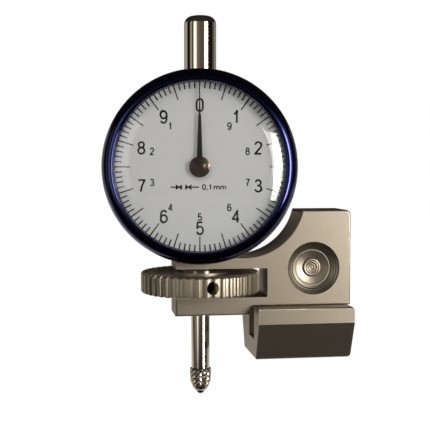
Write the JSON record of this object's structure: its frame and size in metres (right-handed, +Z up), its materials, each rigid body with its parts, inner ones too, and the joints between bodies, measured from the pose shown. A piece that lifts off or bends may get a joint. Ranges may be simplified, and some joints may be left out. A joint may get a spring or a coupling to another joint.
{
  "type": "dial step gauge",
  "caption": "Hand-held step gauge: a small dial gauge in a flat frame with finger dishes, a foot with sloping sides, a knurled collar and a sprung spindle beside the foot.",
  "frame": {"origin": "on the underside of the foot, at mid length, in the plane of the spindle and of the plate's middle", "axes": "+Z up along the spindle, +X from the spindle towards the foot, -Y the side that the dial faces"},
  "size_m": [0.0582, 0.0294, 0.0886],
  "materials": {
    "satin_nickel": "satin nickel plate",
    "blackened_screw": "black oxide",
    "polished_steel": "ground and polished",
    "hard_steel": "hardened",
    "bronze": "reamed bronze",
    "case_plate": "satin nickel plate",
    "rubber_seal": "moulded rubber",
    "brass": "turned brass",
    "small_steel": "turned steel",
    "spring_wire": "drawn wire",
    "blue_anodised": "gloss blue anodised",
    "clear_crystal": "clear",
    "black_ring": "matt black",
    "dial_paint": "matt enamel",
    "black_pointer": "matt black",
    "hub_steel": "turned steel"
  },
  "bodies": {
    "frame": {"frame_plate": "satin_nickel", "base_block": "satin_nickel", "base_screws": "blackened_screw"},
    "head": {"knurled_wheel": "satin_nickel", "wheel_set_screw": "blackened_screw", "stem": "polished_steel", "lower_bush": "bronze", "upper_bush": "bronze", "spindle_cap": "polished_steel", "case_body": "case_plate", "back_gasket": "rubber_seal", "back_cover": "case_plate", "back_cover_screws": "hard_steel", "front_plate": "brass", "rear_plate": "brass", "plate_pillars": "brass", "movement_screws": "small_steel", "centre_cock": "brass", "rack_guide": "brass", "spring_post": "brass", "return_spring": "spring_wire", "hairspring": "spring_wire", "hairspring_stud": "brass", "bezel_spring": "spring_wire"},
    "bezel": {"bezel_ring": "blue_anodised", "crystal": "clear_crystal", "crystal_gasket": "rubber_seal", "dial_spacer": "black_ring", "dial_face": "dial_paint", "dial_retainer": "black_ring"},
    "spindle": {"rack_spindle": "polished_steel", "contact_point": "polished_steel", "contact_ball": "hard_steel", "guide_pin": "hard_steel"},
    "rack_gear": {"rack_pinion": "small_steel", "transfer_gear": "brass"},
    "pointer_shaft": {"centre_arbor": "small_steel", "centre_gear": "brass", "pointer": "black_pointer", "pointer_hub": "hub_steel"},
    "takeup_wheel": {"takeup_arbor": "small_steel", "takeup_gear": "brass"}
  },
  "joints": [
    {"name": "head_swivel", "type": "hinge", "parent": "frame", "child": "head", "pos_m": [-0.02365, 0, 0.018], "axis": [0, 0, 1], "range_deg": [-4, 20]},
    {"name": "bezel_turn", "type": "hinge", "parent": "head", "child": "bezel", "pos_m": [-0.02365, 0, 0.04487], "axis": [0.1392, 0.9903, 0], "continuous": true},
    {"name": "spindle_slide", "type": "slide", "parent": "head", "child": "spindle", "axis": [0, 0, 1], "range_m": [0, 0.01], "stiffness_N_per_m": 30, "springref_m": -0.02, "deforming": ["return_spring"]},
    {"name": "rack_gear_spin", "type": "hinge", "parent": "head", "child": "rack_gear", "pos_m": [-0.02676, 0.00044, 0.03976], "axis": [0.1392, 0.9903, 0], "range_deg": [-360, 0]},
    {"name": "pointer_spin", "type": "hinge", "parent": "head", "child": "pointer_shaft", "pos_m": [-0.02365, 0, 0.04487], "axis": [0.1392, 0.9903, 0], "range_deg": [0, 360]},
    {"name": "takeup_spin", "type": "hinge", "parent": "head", "child": "takeup_wheel", "pos_m": [-0.01679, -0.00096, 0.04087], "axis": [0.1392, 0.9903, 0], "range_deg": [-216, 0]}
  ],
  "couplings": [
    {"joint": "rack_gear_spin", "follows": "spindle_slide", "rad_per_m": -628.32},
    {"joint": "pointer_spin", "follows": "spindle_slide", "rad_per_m": 628.32},
    {"joint": "takeup_spin", "follows": "spindle_slide", "rad_per_m": -376.99}
  ]
}
